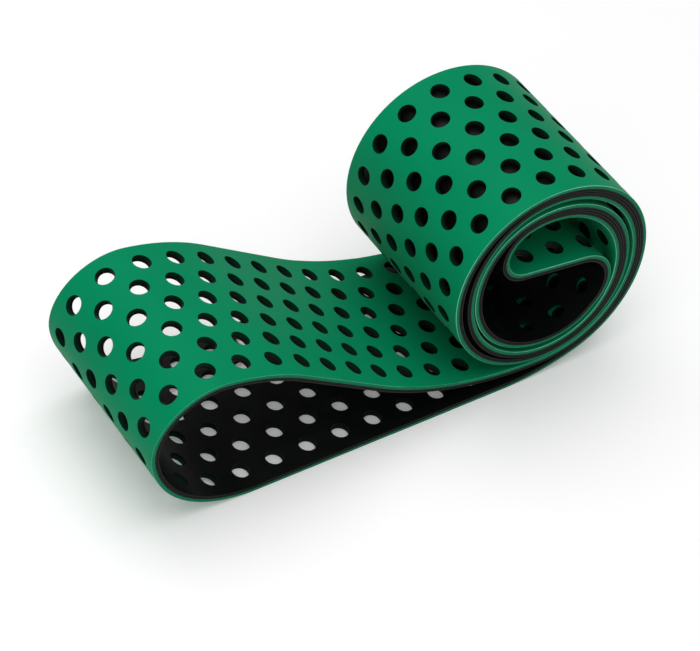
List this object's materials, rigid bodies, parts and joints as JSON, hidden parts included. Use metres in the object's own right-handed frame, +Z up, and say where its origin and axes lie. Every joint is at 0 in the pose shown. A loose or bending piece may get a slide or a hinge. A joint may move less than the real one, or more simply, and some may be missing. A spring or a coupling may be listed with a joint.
{
  "type": "perforated flat belt",
  "caption": "Endless laminated flat belt with staggered round perforations, green outside and black inside, flattened and rolled up for storage, with one loop left open.",
  "frame": {"origin": "middle of the bounding box, on the floor that the belt lies on", "axes": "+X along the belt on the floor, from the open loop towards the coil; +Y across the width of the belt; +Z up"},
  "size_m": [0.2522, 0.085, 0.1194],
  "materials": {
    "cover": "satin, smooth green elastomer",
    "tie_rubber": "matt black bonding rubber, seen only as a thin line on cut edges",
    "tension_ply": "matt grey-brown woven polyester, seen only on cut edges",
    "running_coat": "satin black impregnated running side"
  },
  "bodies": {
    "coil": {"coil_cover": "cover", "coil_tie_rubber": "tie_rubber", "coil_tension_ply": "tension_ply", "coil_running_coat": "running_coat"},
    "flex_a": {"flex_a_cover": "cover", "flex_a_tie_rubber": "tie_rubber", "flex_a_tension_ply": "tension_ply", "flex_a_running_coat": "running_coat"},
    "flex_b": {"flex_b_cover": "cover", "flex_b_tie_rubber": "tie_rubber", "flex_b_tension_ply": "tension_ply", "flex_b_running_coat": "running_coat"},
    "flex_c": {"flex_c_cover": "cover", "flex_c_tie_rubber": "tie_rubber", "flex_c_tension_ply": "tension_ply", "flex_c_running_coat": "running_coat"},
    "loop": {"loop_cover": "cover", "loop_tie_rubber": "tie_rubber", "loop_tension_ply": "tension_ply", "loop_running_coat": "running_coat"}
  },
  "joints": [
    {"name": "lift_bend_a", "type": "hinge", "parent": "coil", "child": "flex_a", "pos_m": [0.05716, 0, 0.01296], "axis": [0, 1, 0], "range_deg": [0, 9]},
    {"name": "lift_bend_b", "type": "hinge", "parent": "flex_a", "child": "flex_b", "pos_m": [0.04056, 0, 0.01594], "axis": [0, 1, 0], "range_deg": [0, 9]},
    {"name": "lift_bend_c", "type": "hinge", "parent": "flex_b", "child": "flex_c", "pos_m": [0.02432, 0, 0.02053], "axis": [0, 1, 0], "range_deg": [0, 9]},
    {"name": "lift_bend_d", "type": "hinge", "parent": "flex_c", "child": "loop", "pos_m": [0.00861, 0, 0.02667], "axis": [0, 1, 0], "range_deg": [0, 9]}
  ],
  "couplings": [
    {"joint": "lift_bend_b", "follows": "lift_bend_a", "ratio": 1},
    {"joint": "lift_bend_c", "follows": "lift_bend_a", "ratio": 1},
    {"joint": "lift_bend_d", "follows": "lift_bend_a", "ratio": 1}
  ]
}
